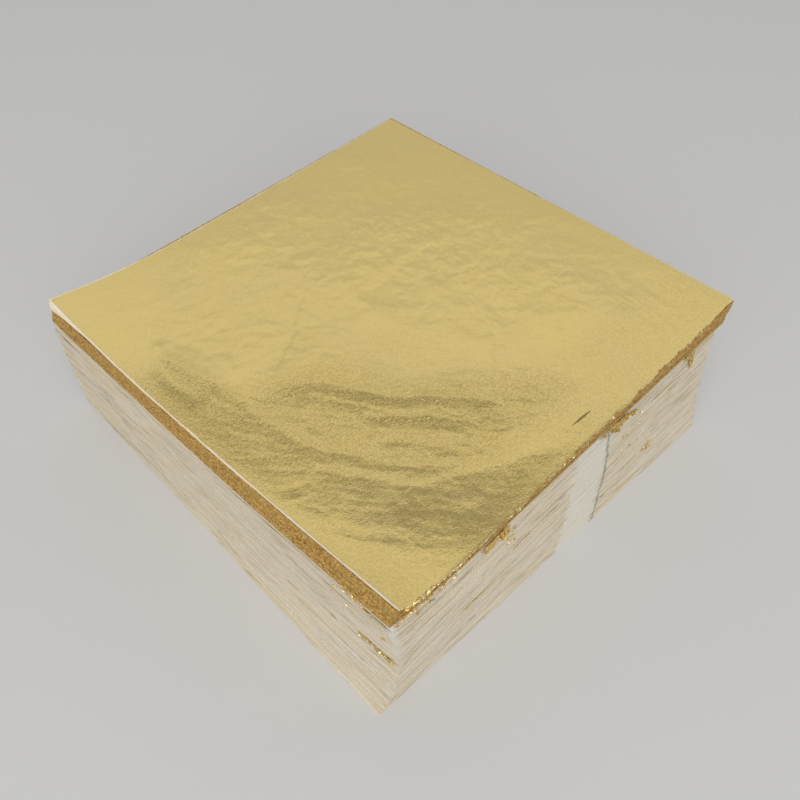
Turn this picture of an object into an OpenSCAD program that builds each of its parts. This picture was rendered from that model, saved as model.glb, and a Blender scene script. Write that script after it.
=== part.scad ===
// Pack of metal leaf: a loose square pile that stands on its flat base.
// From the base up: packets of white tissue sheets with a metal leaf on each packet,
// packets of brown sheets with a leaf on each, one loose tissue and the open top leaf.
// The upper sheets have slipped and turned on the lowest ones, and the corners curl up.

/* [Sheets] */
// Side of the square white tissue sheets
sheet_side = 140; // [100:1:200]
// How far a brown sheet stands past the white sheets on each side
brown_margin = 0.3; // [0:0.1:1.5]
// How far the metal leaves inside the pile stop short of the white sheets' edge
leaf_margin = 0.6; // [0:0.1:4]
// How far the loose top tissue stops short of the white sheets' edge
tissue_margin = 0.3; // [0:0.1:4]
// How far the open top leaf stops short of the white sheets' edge
top_leaf_margin = 0.35; // [0:0.05:4]

/* [Thickness] */
// Height of one packet of white sheets, in the middle of the pile
white_packet_h = 3; // [1:0.1:5]
// Height of one packet of brown sheets, in the middle of the pile
brown_packet_h = 1.1; // [0.5:0.1:3]
// Thickness of the loose top tissue
tissue_t = 0.15; // [0.05:0.01:0.4]
// Thickness of a metal leaf inside the pile
leaf_t = 0.1; // [0.05:0.01:0.3]
// Thickness of the open top leaf, with its crumples pressed flat
top_leaf_t = 0.12; // [0.05:0.01:0.3]
// Air between two pieces that lie on each other
air = 0.1; // [0.06:0.01:0.3]

/* [Lie of the pile] */
// How far the upper sheets have slipped along X from the lowest one
slip_x = 1.5; // [-5:0.1:5]
// How far the upper sheets have slipped along Y from the lowest one
slip_y = 4.2; // [-5:0.1:5]
// Turn of the upper sheets on the lowest one, in degrees
turn = 2.3; // [-4:0.1:4]
// How quickly the slip and turn are used up above the base
slip_power = 2.6; // [1:0.1:6]
// Further slip along X of the lowest brown sheets
low_slip_x = 0; // [-1:0.1:1]
// Further slip along Y of the lowest brown sheets
low_slip_y = -0.6; // [-1:0.1:1]
// Further turn of the lowest brown sheets, in degrees
low_turn = -0.45; // [-1:0.05:1]
// Height below the brown sheets over which the white ones follow them
low_run_in = 4; // [2:0.5:10]
// Further slip along X of the uppermost brown sheet
high_slip_x = 1.45; // [-2:0.05:2]
// Further slip along Y of the uppermost brown sheet
high_slip_y = -0.8; // [-2:0.05:2]
// Further slip along X of the loose top tissue
tissue_slip_x = -0.45; // [-1:0.05:1]
// Further slip along Y of the loose top tissue
tissue_slip_y = -0.1; // [-1:0.05:1]
// Further slip along X of the open top leaf
top_leaf_slip_x = -0.1; // [-1:0.05:1]
// Further slip along Y of the open top leaf
top_leaf_slip_y = -0.55; // [-1:0.05:1]
// Further turn of the loose top tissue and the open top leaf, in degrees
top_turn = 0.2; // [-0.5:0.05:0.5]
// Loose fit of one packet on the next, sideways
scatter = 0.08; // [0:0.01:0.3]
// Rise of the top from its middle to its +X edge
rise_x = 1.4; // [-2:0.1:2]
// Rise of the top from its middle to its +Y edge
rise_y = -2.3; // [-3:0.1:3]

/* [Curled corners] */
// Lift of the brown sheets' corner at -X +Y
curl_left = 0.4; // [0:0.1:4]
// Further lift of the loose top sheets' corner at -X +Y
top_curl_left = 4.3; // [0:0.1:5]
// Distance along X over which the corner at -X +Y curls
left_reach_x = 46; // [25:1:90]
// Distance along Y over which the corner at -X +Y curls
left_reach_y = 50; // [25:1:90]
// Lift of the brown sheets' corner at -X -Y
curl_near = 4; // [0:0.1:4]
// Distance along X over which the corner at -X -Y curls
near_reach_x = 28; // [25:1:90]
// Distance along Y over which the corner at -X -Y curls
near_reach_y = 85; // [25:1:90]
// Lift of the brown sheets' corner at +X -Y
curl_right = 0.3; // [0:0.1:4]
// Distance along each edge over which the corner at +X -Y curls
right_reach = 60; // [25:1:90]
// Share of the pile's height that lies flat below the curl
flat_share = 0.4; // [0.2:0.05:0.7]
// How slowly the curl starts above the flat share
curl_power = 1.5; // [1:0.1:3]

/* [Pushed corners] */
// How far the white sheets' corner at -X -Y stands out along X, halfway up
near_bulge_x = 3.2; // [-4:0.1:4]
// How far the white sheets' corner at -X -Y stands out along Y, halfway up
near_bulge_y = -1.25; // [-4:0.05:4]
// Distance along each edge over which that corner stands out
near_bulge_reach = 170; // [60:5:250]
// How far the lowest brown sheets' corner at +X -Y is pushed along X
right_tuck_x = -2.5; // [-4:0.1:4]
// How far the lowest brown sheets' corner at +X -Y is pushed along Y
right_tuck_y = -0.5; // [-4:0.1:4]
// Distance along each edge over which that corner is pushed
right_tuck_reach = 60; // [40:5:120]
// Height above and below the lowest brown sheet over which that corner is pushed
tuck_levels = 9; // [4:0.5:15]

/* [Torn leaf] */
// How far the torn tabs stand out past the white sheets' edge
tab_out = 2; // [1.5:0.1:4]
// How far the longest torn tab hangs down
tab_drop = 7; // [3:0.5:12]

/* [Hidden] */
white_count = 12;
brown_count = 4;
two_digits = function (i) str(i < 10 ? "0" : "", i);
white_names = [for (i = [1:white_count]) str("white_packet_", two_digits(i))];
white_leaf_names = [for (i = [1:white_count]) str("gold_leaf_", two_digits(i))];
brown_names = [for (i = [1:brown_count]) str("brown_packet_", i)];
brown_leaf_names = [for (i = [1:brown_count]) str("brown_packet_leaf_", i)];

half = sheet_side / 2;
white_pitch = white_packet_h + leaf_t + 2 * air;
brown_pitch = brown_packet_h + leaf_t + 2 * air;
brown_w = white_count * white_pitch;
tissue_w = brown_w + brown_count * brown_pitch;
top_leaf_w = tissue_w + tissue_t + air;
top_w = top_leaf_w + top_leaf_t;
flat_w = flat_share * top_w;
// Grid lines between a sheet's edges, the same on all sheets so that they nest; the ones along Y
// are crowded towards -X, where the corners curl most
side_cells = 10;
grid_share = 0.9;
crowding = 1.35;
x_lines = [for (i = [0:side_cells - 2])
    half * grid_share * (2 * pow(i / (side_cells - 2), crowding) - 1)];
y_lines = [for (i = [1:side_cells - 1])
    half * grid_share * sin(90 * (2 * i / side_cells - 1)) / sin(90 * (1 - 2 / side_cells))];
// How slowly the near corner's bulge starts above the base
bulge_power = 0.8;
// Turns that spread the packets' loose fit evenly, in degrees per packet
scatter_step = [137, 222];
scatter_turn = 0.04;
white_color = [0.86, 0.84, 0.80];
brown_color = [0.66, 0.45, 0.22];
leaf_color = [0.84, 0.72, 0.42];
// Torn tabs on the front edge of the uppermost white packet's leaf:
// place along X as a share of half a side, width in mm and share of tab_drop
torn_tabs = [[-0.5, 8, 0.55], [0.18, 8, 0.5], [0.36, 5, 0.8], [0.79, 5, 0.75]];
// Course of a torn tab from the leaf over the edge and down:
// share of tab_out, share of the drop, share of the width
tab_course = [[0.55, 0.05, 0.95], [0.95, 0.18, 0.8], [1, 0.45, 0.6], [0.85, 0.75, 0.3], [1.2, 1, 0.08]];

// A level w is a height in the middle of the pile, above the base
function clipped(t) = max(0, min(1, t));
function smooth(t) = clipped(t) * clipped(t) * (3 - 2 * clipped(t));
function settled(w) = 1 - pow(clipped(1 - w / top_w), slip_power);
function low_part(w) = pow(clipped((w - brown_w) / low_run_in + 1), 2) * (1 - high_part(w));
function high_part(w) = clipped((w - brown_w) / (tissue_w - brown_w));
function lift(w) = pow(clipped((w - flat_w) / (brown_w - flat_w)), curl_power);
function turned(p, a) = [p.x * cos(a) - p.y * sin(a), p.x * sin(a) + p.y * cos(a)];
// From 0 out in the sheet to 1 at the corner, which is [-1, 1] at -X +Y
function corner_share(p, corner, reach) =
    pow(max(0, 1 - (half - corner.x * p.x) / reach.x - (half - corner.y * p.y) / reach.y), 2);
function left_share(p) = corner_share(p, [-1, 1], [left_reach_x, left_reach_y]);
function curl(p) = curl_left * left_share(p)
    + curl_near * corner_share(p, [-1, -1], [near_reach_x, near_reach_y])
    + curl_right * corner_share(p, [1, -1], [right_reach, right_reach]);
function bulge(p, w) = corner_share(p, [-1, -1], [near_bulge_reach, near_bulge_reach])
    * sin(180 * pow(clipped(w / (brown_w - low_run_in / 2)), bulge_power));
function tuck(p, w) = corner_share(p, [1, -1], [right_tuck_reach, right_tuck_reach])
    * smooth(1 - abs(w - brown_w) / tuck_levels);
// Place on the pile of a sheet's own point p at level w
function place_xy(p, w) = turned(p, turn * settled(w) + low_turn * low_part(w))
    + [slip_x, slip_y] * settled(w) + [low_slip_x, low_slip_y] * low_part(w)
    + [high_slip_x, high_slip_y] * high_part(w)
    + [near_bulge_x, near_bulge_y] * bulge(p, w) + [right_tuck_x, right_tuck_y] * tuck(p, w);
function pile_point(p, w, top_curl = 0) =
    let (q = place_xy(p, w))
    [q.x, q.y, w * (1 + (rise_x * q.x + rise_y * q.y) / (half * top_w)) + curl(p) * lift(w)
        + top_curl * left_share(p)];
// A packet's own loose fit is a turn and a slip, and the loose top sheets have theirs
function loose_turn(k) = scatter_turn * sin(k * scatter_step.x);
function loose_slip(k) = scatter * [sin(k * scatter_step.x), cos(k * scatter_step.y)];

// Closed solid between levels low and high, for a square sheet or packet of the given side;
// it is turned by an angle and slipped on the pile
module sheets(side, low, high, angle, slip, top_curl = 0) {
    n = side_cells;
    m = n + 1;
    layer = m * m;
    corners = [for (w = [low, high]) for (y = concat(-side / 2, y_lines, side / 2))
        for (x = concat(-side / 2, x_lines, side / 2))
            pile_point(turned([x, y], angle) + slip, w, top_curl)];
    cells = [for (j = [0:n - 1]) for (i = [0:n - 1]) i + j * m];
    rim = concat([for (i = [0:n - 1]) i], [for (j = [0:n - 1]) n + j * m],
                 [for (i = [n:-1:1]) i + n * m], [for (j = [n:-1:1]) j * m]);
    walls = [for (i = [0:len(rim) - 1])
        let (a = rim[i], b = rim[(i + 1) % len(rim)]) [a, a + layer, b + layer, b]];
    // Below the curl the upper and lower face are flat
    curled = concat(
        [for (c = cells) [c, c + 1, c + m + 1]],
        [for (c = cells) [c, c + m + 1, c + m]],
        [for (c = cells) [c, c + m + 1, c + 1] + layer * [1, 1, 1]],
        [for (c = cells) [c, c + m, c + m + 1] + layer * [1, 1, 1]]);
    flat = [rim, [for (i = [len(rim) - 1:-1:0]) rim[i] + layer]];
    polyhedron(corners, concat(walls, high > flat_w ? curled : flat));
}

// Ragged tab of leaf that hangs over the front edge; root is the middle of its torn root
module torn_tab(root, width, drop) {
    course = concat([[-1, 0, 1]], tab_course);
    last = 4 * len(course) - 4;
    corners = [for (c = course) let (y = root.y - (c.x < 0 ? c.x : c.x * tab_out), z = root.z - c.y * drop)
        for (e = [[-1, 0], [1, 0], [1, 1], [-1, 1]])
            [root.x + e.x * c.z * width / 2, y - e.y * leaf_t * min(1, c.y * 4), z + e.y * leaf_t]];
    polyhedron(corners, concat(
        [[0, 1, 2], [0, 2, 3], [last, last + 2, last + 1], [last, last + 3, last + 2]],
        [for (r = [0:4:last - 4]) for (e = [0:3]) [r + e, r + 4 + e, r + 4 + (e + 1) % 4]],
        [for (r = [0:4:last - 4]) for (e = [0:3]) [r + e, r + 4 + (e + 1) % 4, r + (e + 1) % 4]]));
}

module packet(k, side, low, height, piece_color) {
    color(piece_color) sheets(side, low, low + height, loose_turn(k), loose_slip(k));
}

module white_packet(i) {
    packet(i, sheet_side, i * white_pitch, white_packet_h, white_color);
}

module white_packet_leaf(i) {
    low = i * white_pitch + white_packet_h + air;
    packet(i, sheet_side - 2 * leaf_margin, low, leaf_t, leaf_color);
    if (i == white_count - 1)
        color(leaf_color)
            for (t = torn_tabs)
                torn_tab(pile_point([t.x * half, leaf_margin - half], low), t.y, t.z * tab_drop);
}

module brown_packet(i) {
    packet(white_count + i, sheet_side + 2 * brown_margin, brown_w + i * brown_pitch, brown_packet_h,
           brown_color);
}

module brown_packet_leaf(i) {
    low = brown_w + i * brown_pitch + brown_packet_h + air;
    packet(white_count + i, sheet_side - 2 * leaf_margin, low, leaf_t, leaf_color);
}

module top_tissue() {
    color(white_color)
        sheets(sheet_side - 2 * tissue_margin, tissue_w, tissue_w + tissue_t, top_turn,
               [tissue_slip_x, tissue_slip_y], top_curl_left);
}

module top_gold_leaf() {
    color(leaf_color)
        sheets(sheet_side - 2 * top_leaf_margin, top_leaf_w, top_w, top_turn,
               [top_leaf_slip_x, top_leaf_slip_y], top_curl_left);
}

for (i = [0:white_count - 1]) {
    white_packet(i);
    white_packet_leaf(i);
}
for (i = [0:brown_count - 1]) {
    brown_packet(i);
    brown_packet_leaf(i);
}
top_tissue();
top_gold_leaf();
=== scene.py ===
"""Looks of the metal leaf pack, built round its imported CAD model.

Every sheet is first laid out flat in its own place: a point (x, y) of the sheet and a level w, its height in
the middle of the pile. pile_point() then puts it on the pile, with the same sizes as the CAD source.
"""

import math

import bpy
import numpy as np
from mathutils import Matrix, Vector


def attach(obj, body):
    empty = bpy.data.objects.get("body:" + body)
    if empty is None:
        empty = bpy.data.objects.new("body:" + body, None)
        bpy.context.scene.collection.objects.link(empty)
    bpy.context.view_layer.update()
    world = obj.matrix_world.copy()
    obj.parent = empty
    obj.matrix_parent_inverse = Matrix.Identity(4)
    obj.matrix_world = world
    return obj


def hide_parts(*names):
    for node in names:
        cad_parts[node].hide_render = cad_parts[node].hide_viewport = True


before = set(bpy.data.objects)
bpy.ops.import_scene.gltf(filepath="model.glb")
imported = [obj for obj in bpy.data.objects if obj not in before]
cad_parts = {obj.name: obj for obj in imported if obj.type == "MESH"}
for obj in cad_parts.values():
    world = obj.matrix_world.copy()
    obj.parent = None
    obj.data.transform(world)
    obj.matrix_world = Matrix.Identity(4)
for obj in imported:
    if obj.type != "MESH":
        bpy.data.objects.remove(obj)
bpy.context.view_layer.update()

MM = 0.001

# Sheets and packets, as in the CAD source
SHEET_SIDE = 140 * MM
HALF = SHEET_SIDE / 2
BROWN_MARGIN = 0.3 * MM
LEAF_MARGIN = 0.6 * MM
TISSUE_MARGIN = 0.3 * MM
TOP_LEAF_MARGIN = 0.35 * MM
WHITE_PACKET_H = 3 * MM
BROWN_PACKET_H = 1.1 * MM
TISSUE_T = 0.15 * MM
LEAF_T = 0.1 * MM
TOP_LEAF_T = 0.12 * MM
AIR = 0.1 * MM

# Lie of the pile, as in the CAD source; angles in degrees
SLIP = np.array([1.5, 4.2]) * MM
TURN = 2.3
SLIP_POWER = 2.6
SCATTER = 0.08 * MM
SCATTER_TURN = 0.04
SCATTER_STEP = (137, 222)
RISE = np.array([1.4, -2.3]) * MM
# The lowest brown sheets lie turned and slipped on the white ones, and the upper ones slip back
LOW_SLIP = np.array([0.0, -0.6]) * MM
LOW_TURN = -0.45
LOW_RUN_IN = 4 * MM
HIGH_SLIP = np.array([1.45, -0.8]) * MM
# Further slip and turn of the loose top tissue and the open leaf
TISSUE_SLIP = np.array([-0.45, -0.1]) * MM
TOP_LEAF_SLIP = np.array([-0.1, -0.55]) * MM
TOP_TURN = 0.2
# Curled corners of the whole pile: height, corner, and reach along X and along Y
CURLS = (
    (0.4 * MM, (-1, 1), (46 * MM, 50 * MM)),
    (4.0 * MM, (-1, -1), (28 * MM, 85 * MM)),
    (0.3 * MM, (1, -1), (60 * MM, 60 * MM)),
)
CURL_POWER = 1.5
FLAT_SHARE = 0.4
# Further curl of the loose top sheets at the left corner
TOP_CURL = (4.3 * MM, (-1, 1), (46 * MM, 50 * MM))
# The near corner of the white sheets stands out, and the right one of the brown sheets is tucked in
NEAR_BULGE = np.array([3.2, -1.25]) * MM
NEAR_REACH = 170 * MM
NEAR_POWER = 0.8
RIGHT_TUCK = np.array([-2.5, -0.5]) * MM
RIGHT_REACH = 60 * MM
TUCK_LEVELS = 9 * MM

white_nodes = sorted(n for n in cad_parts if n.startswith("white_packet_"))
brown_nodes = sorted(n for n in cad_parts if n.startswith("brown_packet_") and "leaf" not in n)
WHITE_PITCH = WHITE_PACKET_H + LEAF_T + 2 * AIR
BROWN_PITCH = BROWN_PACKET_H + LEAF_T + 2 * AIR
BROWN_W = len(white_nodes) * WHITE_PITCH
TISSUE_W = BROWN_W + len(brown_nodes) * BROWN_PITCH
TOP_LEAF_W = TISSUE_W + TISSUE_T + AIR
TOP_W = TOP_LEAF_W + TOP_LEAF_T
FLAT_W = FLAT_SHARE * TOP_W

# Photographed places, in mm. Sides are numbered 0 to 3 round the pile: -Y, +X, +Y, -X, and a place along
# a side is a distance from its first corner, so side 0 starts and side 3 ends at the near corner.
# Seams where a leaf shows: packet under the seam, side, start and end
OPEN_SEAMS = (
    (5, 3, 125.5, 138.5), (4, 3, 113, 120), (3, 3, 97, 108), (6, 3, 120, 125), (10, 3, 126, 134),
    (8, 3, 60, 66), (11, 3, 4, 9),
    (6, 0, 43, 52), (6, 0, 59, 68), (0, 0, 56, 70), (2, 0, 99, 112), (11, 0, 46, 52), (7, 0, 112, 122),
    (4, 0, 20, 34), (1, 0, 84, 96),
)

# Dark slits between plies: side, start and end along it, and level
SLITS = (
    (0, 48.5, 52, 38.2), (0, 69, 71, 1.2), (0, 64.5, 67, 4), (0, 60, 62.5, 5.2), (0, 56, 59.5, 4.1),
    (0, 59, 67, 23), (0, 50, 54, 25.3), (0, 41, 46, 22.6), (0, 80, 87, 9.5), (0, 100, 108, 13),
    (3, 98, 108, 14.5), (3, 112, 120, 16.8), (3, 119, 124, 23), (3, 112, 118, 31.2), (3, 60, 72, 27),
    (3, 35, 44, 22), (3, 82, 90, 33), (3, 20, 27, 30),
)


def turned(points, degrees):
    """The points (..., 2) turned about the origin, each by its own angle."""
    angle = np.radians(degrees)
    c, s = np.cos(angle), np.sin(angle)
    x, y = points[..., 0], points[..., 1]
    return np.stack([x * c - y * s, x * s + y * c], -1)


def settled(w):
    """How far the slip and turn have come at a level, from 0 at the base to 1 at the top."""
    return 1 - np.clip(1 - w / TOP_W, 0, 1) ** SLIP_POWER


def smooth_step(low, high, value):
    """0 below low, 1 above high, and a smooth rise between them."""
    t = np.clip((value - low) / (high - low), 0, 1)
    return t * t * (3 - 2 * t)


def corner_share(points, corner, reach):
    """From 0 out in a sheet to 1 at its corner, which the share falls off from along X and along Y."""
    from_x = (HALF - corner[0] * points[..., 0]) / reach[0]
    from_y = (HALF - corner[1] * points[..., 1]) / reach[1]
    return np.clip(1 - from_x - from_y, 0, None) ** 2


def corner_pushes(points, w):
    """Sideways pushes of the near corner of the white sheets and the right corner of the brown ones."""
    height = np.clip(w / (BROWN_W - LOW_RUN_IN / 2), 0, 1) ** NEAR_POWER
    near = np.sin(math.pi * height) * corner_share(points, (-1, -1), (NEAR_REACH, NEAR_REACH))
    level = smooth_step(TUCK_LEVELS, 0, np.abs(w - BROWN_W))
    right = level * corner_share(points, (1, -1), (RIGHT_REACH, RIGHT_REACH))
    return near[..., None] * NEAR_BULGE + right[..., None] * RIGHT_TUCK


def pile_point(points, w, top=0.0):
    """Places of the sheets' own points (..., 2) on the pile, at level w.

    top is 1 for the loose top sheets, which curl further up at the left corner, and less where they droop.
    """
    w = np.broadcast_to(w, points.shape[:-1])
    part = settled(w)
    low = np.clip((w - BROWN_W + LOW_RUN_IN) / LOW_RUN_IN, 0, 1) ** 2
    high = np.clip((w - BROWN_W) / (TISSUE_W - BROWN_W), 0, 1)
    q = turned(points, TURN * part + LOW_TURN * low * (1 - high))
    q = q + SLIP * part[..., None] + LOW_SLIP * (low * (1 - high))[..., None] + HIGH_SLIP * high[..., None]
    q = q + corner_pushes(points, w)
    rise = 1 + (q @ RISE) / (HALF * TOP_W)
    lift = np.clip((w - FLAT_W) / (BROWN_W - FLAT_W), 0, 1) ** CURL_POWER
    curl = sum(height * corner_share(points, corner, reach) for height, corner, reach in CURLS)
    top_curl = top * TOP_CURL[0] * corner_share(points, *TOP_CURL[1:])
    return np.concatenate([q, (w * rise + curl * lift + top_curl)[..., None]], -1)


def loose(points, k):
    """The points of packet k with its loose fit sideways."""
    a, b = (math.radians(k * step) for step in SCATTER_STEP)
    return turned(points, SCATTER_TURN * math.sin(a)) + SCATTER * np.array([math.sin(a), math.cos(b)])


def noise(x, y, seed):
    """Smooth noise from about -1 to 1, with features about one unit across; each use has its own seed."""
    rng = np.random.default_rng(seed)
    table = rng.permutation(256)
    angle = rng.uniform(0, 2 * math.pi, 256)
    x, y = np.broadcast_arrays(x, y)
    xi, yi = np.floor(x).astype(int), np.floor(y).astype(int)
    xf, yf = x - xi, y - yi

    def slope(dx, dy):
        a = angle[table[(table[(xi + dx) & 255] + yi + dy) & 255]]
        return np.cos(a) * (xf - dx) + np.sin(a) * (yf - dy)

    sx, sy = (f ** 3 * (f * (f * 6 - 15) + 10) for f in (xf, yf))
    low = slope(0, 0) + sx * (slope(1, 0) - slope(0, 0))
    high = slope(0, 1) + sx * (slope(1, 1) - slope(0, 1))
    return 1.6 * (low + sy * (high - low))


def layered_noise(x, y, octaves, seed):
    """Noise with finer and fainter layers added."""
    return sum(noise(x * 2 ** i, y * 2 ** i, seed + i) / 2 ** i for i in range(octaves))


class Ring:
    """Points once round a square from -1 to 1, from its near corner (-1, -1) anticlockwise.

    side and along say where a point lies, and place is its distance all the way round.
    """

    def __init__(self, cells):
        t = np.arange(cells) / cells * 2 - 1
        one = np.ones(cells)
        sides = ((t, -one), (one, t), (-t, one), (-one, -t))
        ways = ((0, -1), (1, 0), (0, 1), (-1, 0))
        self.count = 4 * cells
        self.points = np.concatenate([np.stack(s, -1) for s in sides])
        self.out = np.repeat(np.array(ways, float), cells, 0)
        for i in range(4):
            self.out[i * cells] = self.points[i * cells]
        self.side = np.repeat(np.arange(4), cells)
        self.along = (np.tile(np.arange(cells), 4) / cells) * SHEET_SIDE
        self.place = self.side * SHEET_SIDE + self.along

    def noise(self, length, shift, seed):
        """Noise round the rim, with features of a length in mm."""
        return noise(self.place / (length * MM), shift, seed)

    def stretch(self, side, start, end, soft):
        """1 on a stretch of a side in mm, and 0 off it; a length at both its ends is soft."""
        along = self.along / MM
        inside = smooth_step(start, start + soft, along) * smooth_step(end, end - soft, along)
        return inside * (self.side == side)


class Shell:
    """A closed mesh collected from rings, grids and strips, with each point's place on its own sheet."""

    def __init__(self):
        self.points = []
        self.places = []
        self.faces = []
        self.count = 0

    def add_points(self, points, places):
        """Numbers of the new points; places are the same points on the flat sheet, with their levels."""
        first = self.count
        self.points.append(np.asarray(points, float).reshape(-1, 3))
        self.places.append(np.asarray(places, float).reshape(-1, 3))
        self.count += len(self.points[-1])
        return np.arange(first, self.count)

    def add_quads(self, a, b):
        """Quads between two closed rings of point numbers; b is above or outside a."""
        self.faces.append(np.stack([a, np.roll(a, -1), np.roll(b, -1), b], -1))

    def add_fan(self, centre, ring, up):
        """Triangles from a point to a closed ring of points, which face up or down."""
        ring, after = (ring, np.roll(ring, -1)) if up else (np.roll(ring, -1), ring)
        self.faces.append(np.stack([np.full(len(ring), centre), ring, after], -1))

    def add_grid(self, numbers):
        """Quads between the points of a grid; they face up where columns follow +X and rows +Y."""
        a, b, c, d = numbers[:-1, :-1], numbers[:-1, 1:], numbers[1:, 1:], numbers[1:, :-1]
        self.faces.append(np.stack([a, b, c, d], -1).reshape(-1, 4))

    def mesh(self, name):
        data = bpy.data.meshes.new(name)
        faces = [f for group in self.faces for f in group.tolist()]
        data.from_pydata(np.concatenate(self.points).tolist(), [], faces)
        place = data.attributes.new("sheet_place", "FLOAT_VECTOR", "POINT")
        place.data.foreach_set("vector", np.concatenate(self.places).astype(np.float32).ravel())
        return data


def square_grid(cells, half):
    """Points (rows, columns, 2) of a square grid."""
    line = np.linspace(-1, 1, cells + 1)
    return np.stack(np.meshgrid(line, line), -1) * half


def grid_ring(cells):
    """Numbers of a square grid's border points, in the order of a Ring."""
    n = cells + 1
    i = np.arange(cells)
    return np.concatenate([i, cells + n * i, n * n - 1 - i, n * (cells - i)])


class SheetShell(Shell):
    """Closed mesh of a sheet or packet, made of rings; lie(points, w) puts its own points on the pile."""

    def __init__(self, ring, half, lie):
        super().__init__()
        self.ring = ring
        self.half = half
        self.lie = lie

    def add_level(self, points, w, *ways):
        """Points (..., 2) of the sheet at their levels; ways are further values for lie()."""
        return self.add_points(self.lie(points, w, *ways), np.concatenate([points, w[..., None]], -1))

    def add_ring(self, scale, w, out=0.0, *ways):
        """A ring at level w, drawn in by the scale and pushed out by a length."""
        points = self.ring.points * self.half * scale
        points = points + self.ring.out * np.broadcast_to(out, self.ring.count)[:, None]
        return self.add_level(points, np.broadcast_to(w, self.ring.count), *ways)

    def add_top(self, flat, levels, rim_out):
        """Numbers of a crumpled top's points (rows, columns, 2), whose rim is pushed out, and of its rim."""
        edge = grid_ring(len(flat) - 1)
        flat.reshape(-1, 2)[edge] += self.ring.out * rim_out[:, None]
        top = self.add_level(flat, levels)
        self.add_grid(top.reshape(levels.shape))
        return top, top[edge]

    def close(self, ring, w, up):
        """A fan from a ring to the sheet's middle at level w."""
        middle = self.add_points(self.lie(np.zeros((1, 2)), w), [[0, 0, w]])
        self.add_fan(middle[0], ring, up)

    def wrap(self, low, rim, high=None, top_rim=None):
        """A flat underside at level low, rings round the rim, and a flat top at level high or a crumpled top.

        rim has a level, a way out and further values for lie() for each ring, and top_rim is the crumpled
        top's own.
        """
        rings = [self.add_ring(scale, low) for scale in reversed(INNER_SCALES)]
        rings += [self.add_ring(1, *place) for place in rim]
        rings += [top_rim] if high is None else [self.add_ring(scale, high) for scale in INNER_SCALES]
        for a, b in zip(rings, rings[1:]):
            self.add_quads(a, b)
        self.close(rings[0], low, False)
        if high is not None:
            self.close(rings[-1], high, True)
        return self


def add_number(data, name, values):
    """A number for each point of the mesh, which materials read by its name."""
    held = data.attributes.new(name, "FLOAT", "POINT")
    held.data.foreach_set("value", np.asarray(values, np.float32).ravel())


def add_object(name, data):
    """A new object in the scene."""
    item = bpy.data.objects.new(name, data)
    bpy.context.scene.collection.objects.link(item)
    return item


def make_piece(name, data, material, body, slot, *nodes, smooth=40):
    """A piece of the model: it rides on a body and stands for the CAD nodes named.

    smooth is the angle in degrees up to which edges look smooth, or 0 for flat faces.
    """
    piece = add_object(name, data)
    data.materials.append(material)
    if smooth:
        data.shade_smooth()
        data.set_sharp_from_angle(angle=math.radians(smooth))
    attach(piece, body)
    if nodes:
        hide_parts(*nodes)
    return piece


# Seams between packets

def seam_opening(ring, k):
    """How far the seam over packet k stands open round its rim, from 0 to 1."""
    opening = smooth_step(0.55, 0.75, ring.noise(9, k * 7.3, 40 + k)) * 0.6
    for packet, side, start, end in OPEN_SEAMS:
        if packet == k:
            opening = np.maximum(opening, ring.stretch(side, start - 1, end + 1, 2))
    return opening * smooth_step(-0.35, 0.1, ring.noise(2.6, k * 3.9, 30 + k))


# Packets of sheets

# Rings inside the rim, as shares of the half side
INNER_SCALES = (0.985, 0.94, 0.87, 0.78, 0.66, 0.5, 0.3)
# Edge of a packet: thinnest and thickest ply, depth of the grooves between plies, and the plies' spread
WHITE_EDGE = (0.2 * MM, 0.5 * MM, 0.045 * MM, 0.06 * MM)
BROWN_EDGE = (0.15 * MM, 0.3 * MM, 0.03 * MM, 0.05 * MM)
# Share of a ply's thickness that each rounded corner takes
PLY_BEVEL = 0.18
SLIT_DEPTH = 0.35 * MM
# How far a ply's foot and the packet's last edge are tucked in
PLY_TUCK = (0.02 * MM, 0.05 * MM)
# How far the last ply reaches up over a closed seam
SEAM_COVER = LEAF_T + 1.7 * AIR
PACKET_CELLS = 150


def ply_cuts(low, high, thin, thick, rng):
    """Levels that part a packet into plies of uneven thickness."""
    steps = rng.uniform(thin, thick, int(2 * (high - low) / (thin + thick)) + 1)
    return low + np.concatenate([[0], np.cumsum(steps)]) * (high - low) / steps.sum()


def slit_shares(ring, cuts):
    """How far each cut stands open as a slit round the rim, from 0 to 1."""
    slit = np.zeros((len(cuts), ring.count))
    for side, start, end, level in SLITS:
        if cuts[0] < level * MM < cuts[-1]:
            nearest = np.abs(cuts[1:-1] - level * MM).argmin() + 1
            slit[nearest] = np.maximum(slit[nearest], ring.stretch(side, start, end, 1))
    return slit


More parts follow.
